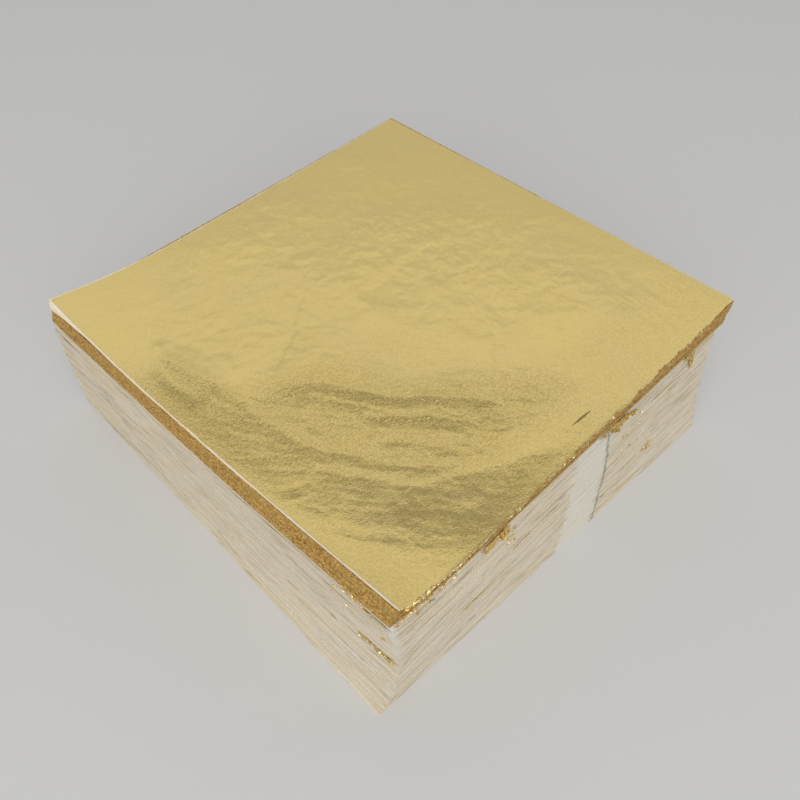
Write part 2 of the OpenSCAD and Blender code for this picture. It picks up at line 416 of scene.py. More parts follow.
def packet_shell(ring, k, side, low, high, edge, seed):
    """Closed shell of packet k, whose edge shows its plies, with grooves and slits between them."""
    thin, thick, groove, spread = edge
    rng = np.random.default_rng(seed)
    shell = SheetShell(ring, side / 2, lambda points, w: pile_point(loose(points, k), w))
    opening = seam_opening(ring, k)
    cuts = ply_cuts(low, high, thin, thick, rng)
    slit = slit_shares(ring, cuts)
    outs = []
    for j in range(len(cuts) - 1):
        wave = 0.5 * ring.noise(28, j * 3.7 + k, seed) + 0.25 * ring.noise(4, j * 5.1, seed + 1)
        outs.append(spread * (rng.normal(0, 0.45) + wave))

    rim = []
    for j, out in enumerate(outs):
        bottom, top = cuts[j], cuts[j + 1]
        bevel = PLY_BEVEL * (top - bottom)
        rim.append((bottom + (bevel * (1 + slit[j]) if j else 0), out - PLY_TUCK[0]))
        if j < len(outs) - 1:
            rim.append((top - bevel * (1 + slit[j + 1]), out))
            depth = smooth_step(0.1, 0.6, ring.noise(15, j * 9.1 + k, seed + 2))
            depth = groove * (0.35 + 0.65 * depth) + SLIT_DEPTH * slit[j + 1]
            rim.append((top, np.minimum(out, outs[j + 1]) - depth))
        else:
            # The last ply closes the seam above it, except where the seam stands open
            shut = high + (1 - opening) * SEAM_COVER
            rim += [(shut - bevel, out), (shut, out - PLY_TUCK[1])]
    return shell.wrap(low, rim, high)


# Leaves inside the pile

LEAF_CELLS = 100
# How far a leaf stands out of an open seam, the raggedness of its edge there, and its waves up and down
LEAF_OUT = 0.12 * MM
LEAF_RAGGED = 0.18 * MM
LEAF_WAVE = 0.3 * MM


def leaf_shell(k, low, seed):
    """Closed shell of the leaf on packet k, crumpled, whose edge hangs out where the seam is open."""
    ring = Ring(LEAF_CELLS)
    half = HALF - LEAF_MARGIN
    shell = SheetShell(ring, half, lambda points, w: pile_point(loose(points, k), w))
    opening = seam_opening(ring, k)
    ragged = ring.noise(1.6, k * 3.1, seed) + 0.5 * ring.noise(0.7, k * 5.3, seed + 1)
    rim_out = opening * (LEAF_MARGIN + LEAF_OUT + LEAF_RAGGED * ragged)
    rim_w = low + opening * LEAF_WAVE * ring.noise(1.1, k * 9.7, seed + 2)

    flat = square_grid(LEAF_CELLS, half)
    x, y = flat[..., 0] / MM, flat[..., 1] / MM
    crumple = 0.5 + 0.5 * layered_noise(x / 9, y / 9, 3, seed + 3)
    border = 1 - np.abs(flat).max(-1) / half
    heights = low + LEAF_T * (1 + 0.6 * crumple * smooth_step(0, 0.06, border))
    heights.reshape(-1)[grid_ring(LEAF_CELLS)] = rim_w + 0.8 * LEAF_T
    _, top_rim = shell.add_top(flat, heights, rim_out)
    return shell.wrap(low, [(rim_w, rim_out)], top_rim=top_rim)


# The open leaf on top

# Ridges of the open leaf, which rise gently from the far right and fall steeply to the near left: height,
# width of the fall and reach of the rise, in mm, and the crest's points in mm on the sheet, whose middle
# is (0, 0) and whose near corner is (-70, -70)
RIDGES = (
    (1.35, 20, 16, ((-60.5, 38), (-57, 27), (-56, 15), (-55.6, 1), (-54.5, -10), (-55, -20), (-55.5, -28),
                    (-52.5, -34.5), (-49, -41.5), (-43.5, -48), (-37.5, -52.5), (-30, -56), (-21, -60),
                    (-13, -65), (-4, -72))),
    (1.1, 9, 14, ((-47.5, 7), (-45.5, 2), (-41.5, -3), (-36, -6.5), (-33.5, -12), (-30.5, -18), (-27, -24),
                   (-22.5, -28.5), (-17.5, -34), (-13, -40), (-9, -46), (-3, -50.5))),
    (0.4, 3.5, 3, ((-57.5, 39), (-59.5, 31), (-58.5, 16))),
    (0.32, 3, 3, ((-63, 33), (-64, 24), (-62.5, 8))),
    (0.45, 3, 4, ((-54, -8), (-53.5, -20), (-51.3, -26), (-47, -31.5), (-43.5, -38), (-39.5, -44), (-34, -50),
                  (-28, -53.5))),
    (0.35, 3, 3, ((-33, -14), (-30, -19.5), (-27, -24), (-22.5, -28.5), (-17.5, -34), (-14, -39))),
    (0.6, 3.5, 3, ((-38, -21), (-34, -27), (-29.5, -32), (-25, -36.5), (-21, -42), (-18.5, -48))),
    (0.45, 3, 3, ((-39, -31), (-36.5, -35), (-33, -40.5), (-29.5, -46), (-27, -50.5))),
    (0.16, 2, 2, ((-50, -5), (-48.7, -8), (-47.8, -15), (-47, -22))),
    (0.2, 1.6, 2, ((-13, -29), (-12, -32), (-10.5, -36), (-8, -40.5))),
    (0.16, 1.6, 2, ((-7, -44), (-4, -48), (0, -51))),
    (0.2, 2.5, 5, ((-16, -36), (-14, -39), (-10.5, -43), (-8.5, -46))),
    (0.42, 14, 40, ((-8, 36), (-3, 24), (-6, 8), (-6, -6), (-2, -18), (6, -30), (15, -32), (26, -34),
                    (36, -42), (58, -55))),
    (0.2, 5, 10, ((18, -51.5), (34, -50.5), (50, -52))),
)
# Fine straight creases: height and half width in mm, and the line's points
CREASES = (
    (0.05, 0.7, ((18, -3.5), (26, -6.5))),
    (0.08, 0.8, ((-56, 2.8), (-48, 2.4))),
    (-0.04, 1.0, ((-53, 46.5), (-30, 48.5))),
    (0.05, 1.0, ((4, 1), (9, 2))),
)
# Heights in mm of its broad waves, of the streaks and fine crumples, and of the folds where it is calm
WAVE_RISE = (0.2, 0.11)
STREAK_RISE = 0.13
FINE_RISE = 0.075
FOLD_RISE = 0.12
# Steepness of the crest's fall, and how unevenly a ridge rises along its line
FALL_POWER = 1.2
UNEVEN = 0.22
# The crumples grow to their full height between these distances inside the rim
CALM_RIM = (-2 * MM, 7 * MM)
# Raggedness of the rim in mm, coarse and fine, and how far it reaches further out on the near right side
RIM_RAGGED = (0.12, 0.1)
RIM_REACH = 0.3
# The rim's lip there: mean hang with its coarse and fine raggedness in mm, stand-off, the hang that stands
# off in full, and thickness at the lower edge and at the root
HANG = (0.35, 0.5, 0.45)
STAND = 0.22 * MM
FULL_HANG = 0.4 * MM
HANG_T = (0.05 * MM, 0.04 * MM)
TOP_CELLS = 292


def line_place(x, y, points):
    """For each point (x, y), its signed distance from a bent line and its distance along the line.

    The distance is positive on the right hand of someone who walks along the line.
    """
    points = np.array(points, float)
    lengths = np.hypot(*np.diff(points, axis=0).T)
    best = np.full(x.shape, np.inf)
    along = np.zeros(x.shape)
    before = 0
    for (x0, y0), (x1, y1), length in zip(points, points[1:], lengths):
        way_x, way_y = (x1 - x0) / length, (y1 - y0) / length
        t = np.clip((x - x0) * way_x + (y - y0) * way_y, 0, length)
        off_x, off_y = x - x0 - t * way_x, y - y0 - t * way_y
        distance = np.hypot(off_x, off_y) * np.where(way_y * off_x - way_x * off_y < 0, -1, 1)
        nearer = np.abs(distance) < np.abs(best)
        best = np.where(nearer, distance, best)
        along = np.where(nearer, before + t, along)
        before += length
    return best, along, lengths.sum()


def rough_zone(x, y):
    """Share of crumpling on the open leaf, for places in mm: strong at the near left, faint at the far."""
    wander = 6 * layered_noise(x / 26, y / 26, 2, 71)
    # Strong beyond the second ridge, and half of it along the near right rim
    border = ((-58, 60), (-53, 22)) + RIDGES[1][3] + ((10, -62), (30, -82))
    across, _, _ = line_place(x, y, border)
    south = smooth_step(14, -6, y + 0.3 * wander) * smooth_step(-22, 0, across + wander)
    south = south * (1 - 0.5 * smooth_step(-50, -62, y) * smooth_step(-50, -28, x))
    # Strong beyond the first ridge, and weaker in the middle and at the near right
    border = ((-58, 70),) + RIDGES[0][3]
    streak = smooth_step(-6, 3, line_place(x, y, border)[0] + 0.8 * wander) * smooth_step(52, 18, y + wander)
    middle = 0.45 * smooth_step(36, -10, y + wander) * smooth_step(20, -25, x + wander)
    near_right = 0.45 * smooth_step(-25, -55, y + wander)
    rough = np.maximum.reduce([south, streak, middle, near_right])
    # Weaker at the near corner
    return rough * (1 - 0.45 * smooth_step(-76, -100, x + y))


def top_leaf_heights(x, y):
    """Crumples of the open leaf over its lie, in metres, and the share of crumpling."""
    rough = rough_zone(x, y)
    warp_x = x + 0.7 * noise(x / 11, y / 11, 81) + 0.45 * noise(x / 3, y / 5, 86)
    warp_y = y + 0.7 * noise(x / 11, y / 11, 82) + 0.45 * noise(x / 3, y / 5, 87)
    height = WAVE_RISE[0] * noise(x / 38, y / 38, 83) + WAVE_RISE[1] * layered_noise(x / 16, y / 16, 2, 84)
    for number, (rise, width, reach, points) in enumerate(RIDGES):
        across, along, length = line_place(warp_x, warp_y, points)
        ends = smooth_step(0, 0.2, along / length) * smooth_step(1, 0.8, along / length)
        rise = rise * (1 + UNEVEN * noise(along / 9, 0.5, 61 + number))
        fall = np.clip(1 - across / width, 0, 1) ** FALL_POWER
        height = height + rise * ends * np.where(across > 0, fall, np.exp(np.minimum(across, 0) / reach))
    for rise, width, points in CREASES:
        across, _, _ = line_place((warp_x + x) / 2, (warp_y + y) / 2, points)
        height = height + rise * np.exp(-(across / width) ** 2)
    # Crumples run along the second ridge
    across, along, _ = line_place(x, y, RIDGES[1][3])
    across = across + 1.5 * noise(x / 14, y / 14, 89)
    streaks = layered_noise(across / 3.2, along / 17, 2, 85)
    fine = layered_noise(across / 1.5, along / 2.6, 2, 88)
    # Away from them the leaf has faint folds that run any way
    folds = np.abs(layered_noise(x / 9, y / 9, 3, 98)) + 0.5 * layered_noise(x / 4, y / 4, 2, 99)
    calm = smooth_step(75, 20, x) * smooth_step(-90, 0, x - y + 40)
    height = height + np.maximum(rough, 0.08) * (STREAK_RISE * streaks + FINE_RISE * fine)
    height = height + FOLD_RISE * (1 - rough) * (0.45 + 0.55 * calm) * folds
    # A soft floor keeps the leaf clear of the tissue under it
    height = 0.5 * (height + np.sqrt(height ** 2 + 0.02))
    return height * MM, np.clip(rough, 0.25, 1)


def top_leaf_point(points, w):
    """Places of the open leaf's own points on the pile."""
    return pile_point(turned(points, TOP_TURN) + TOP_LEAF_SLIP, w, top=1.0)


def top_leaf_shell():
    """Closed shell of the open leaf, with a crumpled top and a ragged rim, and each point's crumpling."""
    ring = Ring(TOP_CELLS)
    half = HALF - TOP_LEAF_MARGIN
    shell = SheetShell(ring, half, top_leaf_point)
    flat = square_grid(TOP_CELLS, half)
    heights, rough = top_leaf_heights(flat[..., 0] / MM, flat[..., 1] / MM)
    border = (1 - np.abs(flat).max(-1) / half) * half
    heights *= smooth_step(*CALM_RIM, border)
    ragged = RIM_RAGGED[0] * ring.noise(6, 1.5, 91) + RIM_RAGGED[1] * ring.noise(1.2, 2.5, 92)
    near_right = smooth_step(0, 0.02, ring.along / SHEET_SIDE) * (ring.side == 0)
    ragged = (ragged + RIM_REACH * near_right * np.clip(ring.noise(2.2, 3.5, 93), 0, 1)) * MM
    edge_w = TOP_LEAF_W + heights.reshape(-1)[grid_ring(TOP_CELLS)]
    top, top_rim = shell.add_top(flat, TOP_LEAF_W + TOP_LEAF_T + heights, ragged)
    # A ragged lip hangs over the brown sheets' edge on the near right side
    hang = HANG[0] + HANG[1] * ring.noise(5, 4.5, 94) + HANG[2] * ring.noise(1.3, 5.5, 96)
    hang = near_right * np.clip(hang, 0, None) * MM
    stand = STAND * np.minimum(1, hang / FULL_HANG)
    stand_low = stand * (1 + 0.8 * ring.noise(0.9, 6.5, 97))
    lip = [(edge_w - hang, ragged + stand_low), (edge_w - hang, ragged + stand_low + HANG_T[0]),
           (edge_w + 0.6 * TOP_LEAF_T, ragged + stand + HANG_T[1])]
    shell.wrap(TOP_LEAF_W, [(edge_w, ragged)] + lip, top_rim=top_rim)
    crumple = np.zeros(shell.count)
    crumple[top] = rough.ravel()
    return shell, crumple


# The loose top tissue

# Its drooping lip at the left corner: reach along the near left side and along the far left one
LIP_REACH = (18 * MM, 5 * MM)
# How far its near left side is cut proud of the others, and the waves of its edge
LEDGE = 0.12 * MM
EDGE_WAVE = 0.08 * MM
# How far the lip's rings stand out and in where it droops
LIP_GAP = 0.25 * MM


def tissue_shell():
    """Closed shell of the top tissue, whose rim droops onto the brown sheets at the left corner."""
    ring = Ring(PACKET_CELLS)
    wave = EDGE_WAVE * ring.noise(14, 0.5, 95) + LEDGE * (ring.side == 3)
    from_corner = np.where(ring.side == 3, ring.along, SHEET_SIDE - ring.along)
    lip = 1 - from_corner / np.where(ring.side == 3, *LIP_REACH)
    lip = np.clip(lip, 0, 1) * (ring.side >= 2)

    def lie(points, w, droop=0.0):
        return pile_point(turned(points, TOP_TURN) + TISSUE_SLIP, w, 1 - droop)

    shell = SheetShell(ring, HALF - TISSUE_MARGIN, lie)
    low, high = TISSUE_W, TISSUE_W + TISSUE_T
    gap = LIP_GAP * np.minimum(1, lip * 4)
    # Rings of the rim: level over the underside in mm, way out, and droop where the lip is
    rim = (
        (0, wave - 0.3 * MM - gap, 0.1), (-0.05, wave, 0.93), (-0.02, wave + gap, 0.93),
        (0.01, wave + 0.6 * gap, 0.3), (0.02, wave - gap, 0.16), (0.04, wave, 0),
    )
    rim = [(low + step * MM, out, droop * lip) for step, out, droop in rim]
    return shell.wrap(low, rim + [(high, wave)], high)


# Torn bits of leaf on the near right side

# Name, start along side 0, upper level, length, drop, slant and crumple in mm, and raggedness
TORN_BITS = (
    ("torn_leaf_1", 30.8, 37.4, 6.6, 2.6, 1.3, 0.9, 0.3),
    ("torn_leaf_2", 37.2, 39.2, 3.4, 6.2, 0.2, 1.0, 0.8),
    ("torn_leaf_3", 79.5, 36.8, 6.5, 1.8, 1.2, 0.5, 0.8),
    ("torn_leaf_4", 84.5, 37.2, 7.5, 4.2, -0.4, 0.9, 0.8),
    ("torn_leaf_5", 91.5, 36.2, 5.5, 2.0, -2.2, 0.7, 1.0),
    ("torn_leaf_6", 121.5, 37.2, 5.5, 3.4, -0.6, 0.7, 0.8),
    ("torn_leaf_7", 125.5, 32.8, 2.0, 4.4, -0.4, 0.6, 1.0),
)
BIT_CELLS = (18, 10)
BIT_T = 0.05 * MM
# A bit's least way out from the sheets' edges, in mm
BIT_OUT = 0.3


def torn_bit_shell(start, level, length, drop, slant, crumple, ragged, seed):
    """Closed thin shell of a crumpled, ragged bit of leaf that hangs on the -Y side."""
    rng = np.random.default_rng(seed)
    s, t = np.meshgrid(*(np.linspace(0, 1, cells + 1) for cells in BIT_CELLS))
    # The lower end is ragged or, where the bit isn't, round
    end = 0.45 + 0.55 * (0.5 + 0.5 * noise(s * 6, 0.5, seed)) - 0.25 * np.abs(2 * s - 1) ** 3
    end = ragged * end + (1 - ragged) * np.sqrt(1.04 - (2 * s - 1) ** 2)
    tip = 0.12 * noise(t * 4, 3.5, seed + 1)
    along = start + length * (s + tip * np.where(s > 0.5, 1, -1) * np.abs(2 * s - 1))
    w = level + slant * s - drop * t * end
    wrinkle = 0.35 + 0.65 * ragged
    bulge = crumple * (0.35 + 0.65 * t) * (0.6 + wrinkle * noise(s * length / 1.3, t * drop / 1.1, seed + 2))
    out = BIT_OUT + np.clip(bulge, 0, None) + 0.06 * ragged * rng.uniform(-1, 1, s.shape)
    shell = Shell()
    level_w = w * MM
    numbers = []
    for layer in (0, 1):
        own = np.stack([along * MM - HALF, -HALF - out * MM - layer * BIT_T], -1)
        places = np.concatenate([own, level_w[..., None]], -1)
        numbers.append(shell.add_points(pile_point(own, level_w), places).reshape(s.shape))
    back, front = numbers
    shell.add_grid(back)
    shell.add_grid(front[:, ::-1])

    def rim(grid):
        return np.concatenate([grid[0, :-1], grid[:-1, -1], grid[-1, :0:-1], grid[:0:-1, 0]])

    a, b = rim(back), rim(front)
    shell.faces.append(np.stack([np.roll(a, -1), a, b, np.roll(b, -1)], -1))
    return shell


# Crumbs of leaf: side (0 faces -Y, 3 faces -X), start and end along it, lowest and highest level, in mm
EDGE_CRUMBS = (
    (0, 1, 26, 37.8, 39.2), (0, 1, 26, 37.8, 39.2), (0, 1, 14, 38.2, 39.6), (0, 8, 22, 35.5, 38),
    (0, 93, 106, 17, 33), (0, 40, 44, 26, 34), (0, 110, 113, 8, 11), (3, 125.5, 138.5, 18.9, 19.6),
    (3, 125.5, 138.5, 18.9, 19.6), (3, 124, 132, 38.6, 39.3), (3, 112, 136, 28, 38),
)
RIM_CRUMBS = (
    (0, 1, 24, 45.2, 46), (0, 4, 9, 45.0, 46.3), (0, 4, 9, 45.0, 46.3), (0, 0.5, 2.5, 45.2, 46.3),
    (0, 12, 22, 45.2, 45.8), (0, 2, 14, 45.3, 46.4), (0, 14, 70, 45.2, 45.7), (0, 70, 130, 45.2, 45.5),
)
CRUMB_COUNT = 190
# A crumb's middle stands this far off its side; its radius is the least plus up to the range, and its two
# tips stand a share of the radius over and under its middle
CRUMB_OUT = 0.25 * MM
CRUMB_LEAST = 0.28 * MM
CRUMB_RANGE = 0.65 * MM
CRUMB_TIP = 0.35


def white_packet_at(level):
    """Node of the white packet that lies at a level in mm, or else of the uppermost one."""
    return white_nodes[min(int(level * MM / WHITE_PITCH), len(white_nodes) - 1)]


def crumb_shells(seed, spans, lie, carrier):
    """Small folded crumbs of leaf scattered over stretches of the sides, with one shell for each carrier.

    carrier(level) names the node that carries a crumb.
    """
    rng = np.random.default_rng(seed)
    shells = {}
    for _ in range(CRUMB_COUNT):
        side, start, end, low, high = spans[rng.integers(len(spans))]
        along, level = rng.uniform(start, end), rng.uniform(low, high)
        shell = shells.setdefault(carrier(level), Shell())
        size = CRUMB_LEAST + CRUMB_RANGE * rng.random() ** 2.2
        out = HALF + CRUMB_OUT
        own = np.array([along * MM - HALF, -out] if side == 0 else [-out, HALF - along * MM])
        centre = lie(own[None], np.array([level * MM]))[0]
        angles = np.sort(rng.uniform(0, 2 * math.pi, 5))
        around = np.stack([np.cos(angles), np.sin(angles) * 0.5, rng.uniform(-0.5, 0.5, 5)], -1) * size
        tips = (rng.uniform(-0.3, 0.3, (2, 3)) + np.array([[0, 0, -CRUMB_TIP], [0, 0, CRUMB_TIP]])) * size
        if side == 3:
            # A quarter turn, as the side has
            around = around[:, [1, 0, 2]] * [-1, 1, 1]
        points = np.concatenate([tips[:1], around, tips[1:]]) + centre
        n = shell.add_points(points, np.tile([own[0], own[1], level * MM], (len(points), 1)))
        shell.add_fan(n[0], n[1:6], False)
        shell.add_fan(n[6], n[1:6], True)
    return shells


# Materials

class Nodes:
    """A material's node tree, with short ways to add and join nodes."""

    def __init__(self, name, colour):
        self.colour = colour
        self.material = bpy.data.materials.new(name)
        self.material.use_nodes = True
        self.tree = self.material.node_tree
        self.tree.nodes.clear()
        self.shader = self.add("BsdfPrincipled")
        output = self.add("OutputMaterial")
        self.join(self.shader.outputs["BSDF"], output.inputs["Surface"])

    def add(self, kind):
        return self.tree.nodes.new("ShaderNode" + kind)

    def join(self, source, target):
        self.tree.links.new(source, target)

    def put(self, value, socket):
        """A number or colour goes on the socket, and another node's output is linked to it."""
        if isinstance(value, bpy.types.NodeSocket):
            self.join(value, socket)
        else:
            socket.default_value = value

    def put_colour(self, colour, socket):
        """As put(); a colour's alpha is added."""
        self.put((*colour, 1) if isinstance(colour, tuple) else colour, socket)

    def attribute(self, name, output="Vector"):
        node = self.add("Attribute")
        node.attribute_name = name
        return node.outputs[output]

    def noise(self, size, detail=2.0, roughness=0.5, distortion=0.0):
        """Noise on the sheet's own places, with features of a size (x, y, level) in mm."""
        scaled = self.add("VectorMath")
        scaled.operation = "MULTIPLY"
        self.join(self.attribute("sheet_place"), scaled.inputs[0])
        scaled.inputs[1].default_value = [1 / (s * MM) for s in size]
        node = self.add("TexNoise")
        self.join(scaled.outputs["Vector"], node.inputs["Vector"])
        node.inputs["Scale"].default_value = 1
        node.inputs["Detail"].default_value = detail
        node.inputs["Roughness"].default_value = roughness
        node.inputs["Distortion"].default_value = distortion
        return node.outputs["Fac"]

    def thin_lines(self, phase):
        """1 on a thin line at each whole number of the phase, 0 between them."""
        wave = self.math("ABSOLUTE", self.math("SINE", self.times(phase, math.pi)))
        return self.ramp(wave, 0.6, 0.2)

    def place(self):
        """The sheet's own x, y and level, in m."""
        node = self.add("SeparateXYZ")
        self.join(self.attribute("sheet_place"), node.inputs[0])
        return node.outputs

    def math(self, operation, a, b=0.0):
        node = self.add("Math")
        node.operation = operation
        self.put(a, node.inputs[0])
        self.put(b, node.inputs[1])
        return node.outputs[0]

    def plus(self, a, b):
        return self.math("ADD", a, b)

    def minus(self, a, b):
        return self.math("SUBTRACT", a, b)

    def times(self, a, b):
        """The product, worked out here where both are numbers."""
        if isinstance(a, float) and isinstance(b, float):
            return a * b
        return self.math("MULTIPLY", a, b)

    def ramp(self, value, low, high, to_low=0.0, to_high=1.0):
        node = self.add("MapRange")
        node.interpolation_type = "SMOOTHSTEP"
        self.put(value, node.inputs["Value"])
        self.put(low, node.inputs["From Min"])
        self.put(high, node.inputs["From Max"])
        self.put(to_low, node.inputs["To Min"])
        self.put(to_high, node.inputs["To Max"])
        return node.outputs["Result"]

    def lay(self, colour, share):
        """Lays a colour over what the surface shows so far."""
        node = self.add("Mix")
        node.data_type = "RGBA"
        self.put(share, node.inputs["Factor"])
        self.put_colour(self.colour, node.inputs[6])
        self.put_colour(colour, node.inputs[7])
        self.colour = node.outputs[2]

    def bump(self, height, distance, strength):
        node = self.add("Bump")
        self.put(height, node.inputs["Height"])
        self.put(strength, node.inputs["Strength"])
        node.inputs["Distance"].default_value = distance
        return node.outputs["Normal"]

    def finish(self, roughness, specular=0.5, metallic=0.0, normal=None):
        """Puts the surface's values on the shader and gives the material."""
        self.put_colour(self.colour, self.shader.inputs["Base Color"])
        self.shader.inputs["Roughness"].default_value = roughness
        self.shader.inputs["Specular IOR Level"].default_value = specular
        self.shader.inputs["Metallic"].default_value = metallic
        if normal is not None:
            self.join(normal, self.shader.inputs["Normal"])
        return self.material


# The pale strip and the grey line down the -Y side: places along X on the sheet. The line's bow is a part
# of a sine wave, and LINE_BOW is its angle at the foot.
STRIP = (-0.5 * MM, 14.5 * MM)
STRIP_FADE = (0.5 * MM, 3 * MM)
STRIP_RAGGED = 15 * MM
LINE_TOP = 13.2 * MM
LINE_BULGE = 4.2 * MM
LINE_BOW = 2.3
LINE_WAVE = 2.2 * MM
LINE_WIDTH = 0.42 * MM
# The near corner is paler up to this far from the edges, and from the first level up to the second
PALE_CORNER_REACH = (2.4 * MM, 0.3 * MM)
PALE_CORNER_LEVELS = (26 * MM, 42 * MM)
PALE_CORNER_RAGGED = 10 * MM
# The tear in the open leaf: its middle, half length, half width, slope and soft border
TEAR_MIDDLE = (2.8 * MM, -64.4 * MM)
TEAR_LENGTH = 4.4 * MM
TEAR_WIDTH = 0.42 * MM
TEAR_SLOPE = -0.06
TEAR_FADE = 0.15 * MM

# Colours of the white tissue's edges
WHITE_TISSUE = ((0.87, 0.77, 0.60), (0.83, 0.75, 0.615))
PALE_LINE = (0.94, 0.89, 0.80)
OCHRE_LINE = (0.66, 0.54, 0.31)
PAINTED_SHADE_LINE = (0.30, 0.235, 0.09)
PAINTED_GAP_SHADE = (0.13, 0.10, 0.06)
GOLD_DUST = (0.70, 0.55, 0.18)
TISSUE_GRAIN = (0.56, 0.48, 0.38)
STRIP_GREY = (0.80, 0.775, 0.70)
PALE_CORNER = (0.84, 0.83, 0.80)
LINE_GREY = (0.27, 0.26, 0.25)
# Colours of the other paper
CREAM_TISSUE = ((1.0, 0.90, 0.70), (0.97, 0.85, 0.64))
BROWN_PAPER = ((0.25, 0.125, 0.018), (0.76, 0.465, 0.135))
OLIVE_PATCH = (0.47, 0.34, 0.10)
BROWN_STREAK = (0.26, 0.16, 0.05)
BROWN_SPARK = (0.90, 0.70, 0.32)
FLOOR_GREY = (0.72, 0.72, 0.715)
# Colours of the leaf: pale and deep gold of each kind, and what lies on it, with painted shade in the tear
# and painted shade and glints of fine dimples
OPEN_LEAF = ((0.90, 0.71, 0.28), (0.87, 0.69, 0.29))
INNER_LEAF = ((0.98, 0.82, 0.44), (0.92, 0.68, 0.25))
TORN_LEAF = ((0.98, 0.72, 0.25), (0.84, 0.50, 0.10))
LEAF_CRUMB = ((1.0, 0.90, 0.58), (0.95, 0.78, 0.38))
CRUMPLED = (0.93, 0.67, 0.20)
DIMPLE_PAINTED_SHADE = (0.42, 0.31, 0.10)
DIMPLE_PAINTED_GLINT = (1.0, 0.87, 0.45)
TEAR_PAINTED_SHADE = (0.10, 0.06, 0.02)


def strip_share(n, x):
    """1 on the pale strip, whose borders are ragged, and 0 beside it."""
    ragged = n.times(n.minus(n.noise((70, 70, 2.2), 2, 0.65), 0.5), STRIP_RAGGED)
    across = n.plus(x, ragged)
    left = n.ramp(across, STRIP[0], STRIP[0] + STRIP_FADE[0])
    right = n.ramp(across, STRIP[1] + STRIP_FADE[1], STRIP[1])
    return n.times(left, right)


def grey_line_share(n, x, w):
    """1 on the thin grey line, which bows and wavers on its way down, and 0 beside it."""
    bow = n.math("SINE", n.times(n.minus(1.0, n.math("DIVIDE", w, BROWN_W)), LINE_BOW))
    wave = n.times(n.minus(n.noise((90, 90, 3.5), 2), 0.5), LINE_WAVE)
    middle = n.plus(n.plus(n.times(bow, LINE_BULGE), wave), LINE_TOP)
    off = n.math("ABSOLUTE", n.minus(x, middle))
    broad = n.noise((90, 90, 1.1), 1)
    width = n.ramp(broad, 0.3, 0.7, 0.5 * LINE_WIDTH, 1.6 * LINE_WIDTH)
    return n.ramp(off, n.times(width, 2.0), n.times(width, 0.4))


def pale_corner_share(n, x, y, w, grain):
    """1 at the near corner, high up in the pile, and 0 away from it."""
    from_x, from_y = (n.ramp(v, -HALF + PALE_CORNER_REACH[0], -HALF + PALE_CORNER_REACH[1]) for v in (x, y))
    level = n.plus(w, n.times(grain, PALE_CORNER_RAGGED))
    return n.times(n.times(from_x, from_y), n.ramp(level, *PALE_CORNER_LEVELS))


def white_tissue_material():
    """Edges of white tissue: warm grey sheets with thin pale lines between them, and thin dark lines of
    painted shade in the gaps between them.
    """
    n = Nodes("white_tissue", WHITE_TISSUE[0])
    x, y, w = n.place()
    # 1 on the -Y side
    front = n.math("LESS_THAN", y, -HALF + 2 * MM)
    strip = n.times(strip_share(n, x), front)
    # Lines are faint on the strip
    plain = n.minus(1.0, n.times(strip, 0.75))
    broad = n.noise((45, 45, 7), 2)
    n.lay(WHITE_TISSUE[1], n.ramp(broad, 0.35, 0.65))

    # Thin broken lines between the sheets: pale ones, and dark ones that are painted shade in the gaps
    # between the sheets
    way = n.times(n.noise((60, 60, 5), 3), 7.0)
    phase = n.plus(n.math("DIVIDE", w, 0.85 * MM), way)
    broken = n.noise((14, 14, 0.5), 1)
    pale = n.times(n.thin_lines(n.plus(phase, 0.3)), n.ramp(broken, 0.45, 0.6))
    n.lay(PALE_LINE, n.times(pale, 0.65))
    streak = n.noise((16, 16, 0.4), 2)
    n.lay(OCHRE_LINE, n.times(n.ramp(streak, 0.5, 0.64, 0.0, 0.6), plain))
    zone = n.ramp(n.noise((26, 26, 6), 2), 0.38, 0.6, 0.35, 1.0)
    # Painted shade: dark lines in the gaps between the sheets, stronger in some zones
    dark = n.times(n.thin_lines(phase), n.ramp(broken, 0.56, 0.42))
    n.lay(PAINTED_SHADE_LINE, n.times(dark, n.times(zone, plain)))
    # Painted shade: dark spots where the gaps between the sheets stand open
    gap = n.times(n.ramp(n.noise((4, 4, 0.2), 1), 0.74, 0.79), zone)
    n.lay(PAINTED_GAP_SHADE, n.times(gap, 0.8))

    # Gold dust in clusters, and a fine grain
    speck = n.ramp(n.noise((2.4, 2.4, 0.25), 2), 0.6, 0.66)
    cluster = n.ramp(n.noise((16, 16, 4), 1), 0.5, 0.62)
    n.lay(GOLD_DUST, n.times(n.times(speck, cluster), 0.8))
    grain = n.noise((0.5, 0.5, 0.35), 2, 0.7)
    n.lay(TISSUE_GRAIN, n.ramp(grain, 0.35, 0.65, 0.0, 0.5))

    n.lay(STRIP_GREY, n.times(strip, 0.7))
    n.lay(PALE_CORNER, n.times(pale_corner_share(n, x, y, w, grain), 0.7))
    line = n.times(grey_line_share(n, x, w), front)
    n.lay(LINE_GREY, n.times(line, 0.7))
    fibre = n.noise((0.9, 0.9, 0.16), 2)
    return n.finish(0.85, 0.25, normal=n.bump(fibre, 0.07 * MM, 0.8))


def cream_tissue_material():
    """The loose top tissue: plain cream."""
    n = Nodes("cream_tissue", CREAM_TISSUE[0])
    grain = n.noise((1.2, 1.2, 1.2), 3, 0.6)
    n.lay(CREAM_TISSUE[1], n.ramp(grain, 0.35, 0.7))
    return n.finish(0.8, 0.3, normal=n.bump(grain, 0.04 * MM, 0.6))


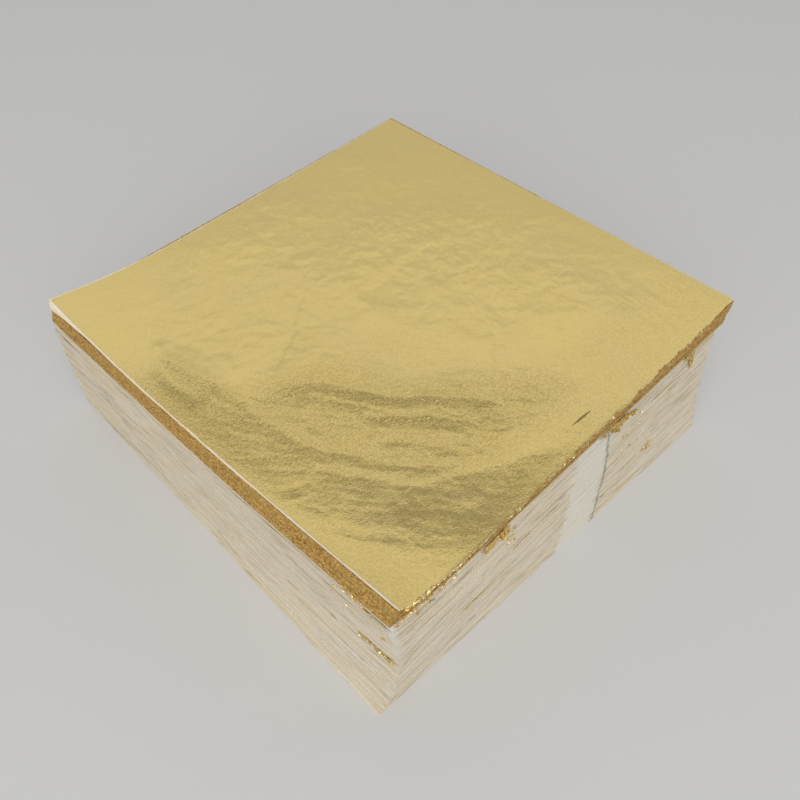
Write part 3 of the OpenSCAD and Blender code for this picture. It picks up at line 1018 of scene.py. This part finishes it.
def brown_paper_material():
    """Brown sheets: a speckled orange-brown edge, streaked darker low down, with sparks along its foot."""
    n = Nodes("brown_paper", BROWN_PAPER[0])
    _, _, w = n.place()
    speckle = n.noise((0.5, 0.5, 0.45), 3, 0.75)
    n.lay(BROWN_PAPER[1], n.ramp(speckle, 0.36, 0.64))
    patch = n.noise((8, 8, 2), 3)
    n.lay(OLIVE_PATCH, n.ramp(patch, 0.42, 0.65, 0.0, 0.4))
    streak = n.ramp(n.noise((9, 9, 0.25), 2), 0.52, 0.66)
    low = n.ramp(w, TISSUE_W - 1.5 * MM, BROWN_W, 0.1, 0.45)
    n.lay(BROWN_STREAK, n.times(streak, low))
    spark = n.ramp(n.noise((1.3, 1.3, 0.35), 2), 0.62, 0.68)
    foot = n.ramp(w, BROWN_W + 1.2 * MM, BROWN_W + 0.3 * MM)
    n.lay(BROWN_SPARK, n.times(spark, foot))
    return n.finish(0.7, 0.3, normal=n.bump(speckle, 0.1 * MM, 0.9))


def tear_share(n):
    """1 inside the tear, which narrows to a point at both ends, and 0 outside it."""
    x, y, _ = n.place()
    along = n.math("DIVIDE", n.minus(x, TEAR_MIDDLE[0]), TEAR_LENGTH)
    across = n.minus(n.minus(y, TEAR_MIDDLE[1]), n.times(along, TEAR_SLOPE * TEAR_LENGTH))
    open_half = n.times(n.minus(1.0, n.times(along, along)), TEAR_WIDTH)
    return n.ramp(n.minus(open_half, n.math("ABSOLUTE", across)), 0.0, TEAR_FADE)


def leaf_material(name, gold, roughness, opened=False):
    """Gold metal leaf with fine dimples and grain; the opened leaf has them where it is crumpled."""
    n = Nodes(name, gold[0])
    mottle = n.noise((26, 26, 26), 3)
    n.lay(gold[1], n.ramp(mottle, 0.3, 0.7))
    crumple = 1.0
    if opened:
        crumple = n.attribute("crumple", "Fac")
        # Painted shade: the tear is painted near black, for the shade inside it
        n.lay(TEAR_PAINTED_SHADE, n.times(tear_share(n), 0.92))
    dimple = n.noise((0.95, 0.75, 4), 3, 0.65, 0.4)
    grain = n.noise((0.6, 0.42, 4), 2, 0.6, 0.3)
    n.lay(CRUMPLED, n.times(crumple, 0.35))
    # Painted shade and painted glints: dimples too small to show as slopes get dark specks that dim the sheen
    # and bright specks that stand for glints
    dark = n.times(n.ramp(grain, 0.42, 0.7), n.times(crumple, 0.38))
    n.lay(DIMPLE_PAINTED_SHADE, dark)
    painted_glint = n.times(n.ramp(grain, 0.5, 0.3), n.times(crumple, 0.36))
    n.lay(DIMPLE_PAINTED_GLINT, painted_glint)
    height = n.plus(dimple, n.times(grain, 0.5))
    return n.finish(roughness, metallic=1.0, normal=n.bump(height, 0.16 * MM, crumple))


# Build the pieces

white_tissue = white_tissue_material()
brown_paper = brown_paper_material()
cream_tissue = cream_tissue_material()
open_leaf = leaf_material("open_leaf", OPEN_LEAF, 0.18, opened=True)
inner_leaf = leaf_material("inner_leaf", INNER_LEAF, 0.3)
torn_leaf = leaf_material("torn_leaf", TORN_LEAF, 0.24)
leaf_crumb = leaf_material("leaf_crumb", LEAF_CRUMB, 0.35)

# First seeds of the random draws; a leaf's seed follows its packet's
WHITE_SEED = 100
BROWN_SEED = 300
LEAF_SEED_STEP = 100
BIT_SEED = 500
EDGE_CRUMB_SEED = 600
RIM_CRUMB_SEED = 601
# Kinds of packet: side, height, edge, material and slot
WHITE_KIND = (SHEET_SIDE, WHITE_PACKET_H, WHITE_EDGE, white_tissue, "white_tissue")
BROWN_KIND = (SHEET_SIDE + 2 * BROWN_MARGIN, BROWN_PACKET_H, BROWN_EDGE, brown_paper, "brown_paper")

packet_ring = Ring(PACKET_CELLS)


def build_packet(kind, k, low, node, leaf_node, seed):
    """The pieces of packet k and of the leaf on it, which both ride on the packet's body."""
    side, height, edge, material, slot = kind
    body = node + "_body"
    shell = packet_shell(packet_ring, k, side, low, low + height, edge, seed)
    make_piece("visual_" + node, shell.mesh(node), material, body, slot, node)
    shell = leaf_shell(k, low + height + AIR, seed + LEAF_SEED_STEP)
    make_piece("visual_" + leaf_node, shell.mesh(leaf_node), inner_leaf, body, "inner_leaf", leaf_node)


for k, node in enumerate(white_nodes):
    leaf_node = node.replace("white_packet", "gold_leaf")
    build_packet(WHITE_KIND, k, k * WHITE_PITCH, node, leaf_node, WHITE_SEED + k)
for i, node in enumerate(brown_nodes):
    k = len(white_nodes) + i
    leaf_node = node.replace("brown_packet", "brown_packet_leaf")
    build_packet(BROWN_KIND, k, BROWN_W + i * BROWN_PITCH, node, leaf_node, BROWN_SEED + i)

make_piece("visual_top_tissue", tissue_shell().mesh("top_tissue"), cream_tissue,
           "top_tissue_body", "white_tissue", "top_tissue")
shell, crumple = top_leaf_shell()
top_data = shell.mesh("top_gold_leaf")
add_number(top_data, "crumple", crumple)
make_piece("visual_top_gold_leaf", top_data, open_leaf, "top_gold_leaf_body", "open_leaf", "top_gold_leaf")

# Torn bits and crumbs ride on the packet that they hang from
for number, (name, *sizes) in enumerate(TORN_BITS):
    shell = torn_bit_shell(*sizes, BIT_SEED + number)
    body = white_packet_at(sizes[1]) + "_body"
    make_piece(name, shell.mesh(name), torn_leaf, body, "inner_leaf", smooth=50)
for node, shell in crumb_shells(EDGE_CRUMB_SEED, EDGE_CRUMBS, pile_point, white_packet_at).items():
    name = node + "_crumbs"
    make_piece(name, shell.mesh(name), leaf_crumb, node + "_body", "inner_leaf", smooth=0)
rim_shells = crumb_shells(RIM_CRUMB_SEED, RIM_CRUMBS, top_leaf_point, lambda level: "top_gold_leaf")
for node, shell in rim_shells.items():
    make_piece("rim_crumbs", shell.mesh("rim_crumbs"), leaf_crumb, node + "_body", "inner_leaf", smooth=0)

# Floor, world, lights and camera

FLOOR_HALF = 1.5
FLOOR_LEVEL = -0.05 * MM
WORLD_COLOUR = (1.0, 0.985, 0.96, 1)
WORLD_STRENGTH = 0.31
LIGHT_DISTANCE = 1.3
# Softboxes: azimuth, where 0 stands at -Y and 90 at +X, elevation, width, height and radiance
LIGHTS = (
    ("back_softbox_high", 132, 50.8, 3.0, 0.5, 0.43),
    ("high_fill", 140, 85, 3.0, 0.4, 0.1),
    ("back_softbox_low", 132, 22.5, 3.0, 0.8, 0.28),
    ("front_softbox", -45, 32, 1.8, 0.9, 1.46),
    ("top_softbox", -45, 60, 1.0, 0.8, 1.6),
)
# Camera fitted to the photograph, which is 800 pixels wide
CAMERA_PLACE = Vector((-125.166, -126.398, 219.740)) * MM
CAMERA_RIGHT = Vector((0.72486, -0.68824, 0.03009))
CAMERA_UP = Vector((0.51399, 0.56940, 0.64156))
FOCAL_PIXELS = 861.5
PHOTO_WIDTH = 800

floor_data = bpy.data.meshes.new("floor")
corners = ((-1, -1), (1, -1), (1, 1), (-1, 1))
floor_points = [(x * FLOOR_HALF, y * FLOOR_HALF, FLOOR_LEVEL) for x, y in corners]
floor_data.from_pydata(floor_points, [], [(0, 1, 2, 3)])
floor_data.materials.append(Nodes("pale_floor", FLOOR_GREY).finish(0.9))
floor = add_object("floor", floor_data)

world = bpy.data.worlds.new("studio")
bpy.context.scene.world = world
world.use_nodes = True
background = world.node_tree.nodes["Background"]
background.inputs["Color"].default_value = WORLD_COLOUR
background.inputs["Strength"].default_value = WORLD_STRENGTH


def soft_light(name, azimuth, elevation, width, height, radiance):
    """Rectangular softbox that looks at the middle of the pile's foot."""
    data = bpy.data.lights.new(name, "AREA")
    data.shape = "RECTANGLE"
    data.size = width
    data.size_y = height
    data.energy = radiance * math.pi * width * height
    light = add_object(name, data)
    a, e = math.radians(azimuth), math.radians(elevation)
    back = Vector((math.sin(a) * math.cos(e), -math.cos(a) * math.cos(e), math.sin(e)))
    light.location = back * LIGHT_DISTANCE
    light.rotation_euler = back.to_track_quat("Z", "Y").to_euler()


for light in LIGHTS:
    soft_light(*light)

camera_data = bpy.data.cameras.new("camera")
camera_data.sensor_width = 36
camera_data.lens = FOCAL_PIXELS / PHOTO_WIDTH * camera_data.sensor_width
camera_data.clip_start = 5 * MM
camera = add_object("camera", camera_data)
turn = Matrix((CAMERA_RIGHT, CAMERA_UP, CAMERA_RIGHT.cross(CAMERA_UP))).transposed()
camera.matrix_world = Matrix.Translation(CAMERA_PLACE) @ turn.to_4x4()
bpy.context.scene.camera = camera
bpy.context.scene.view_settings.view_transform = "Standard"
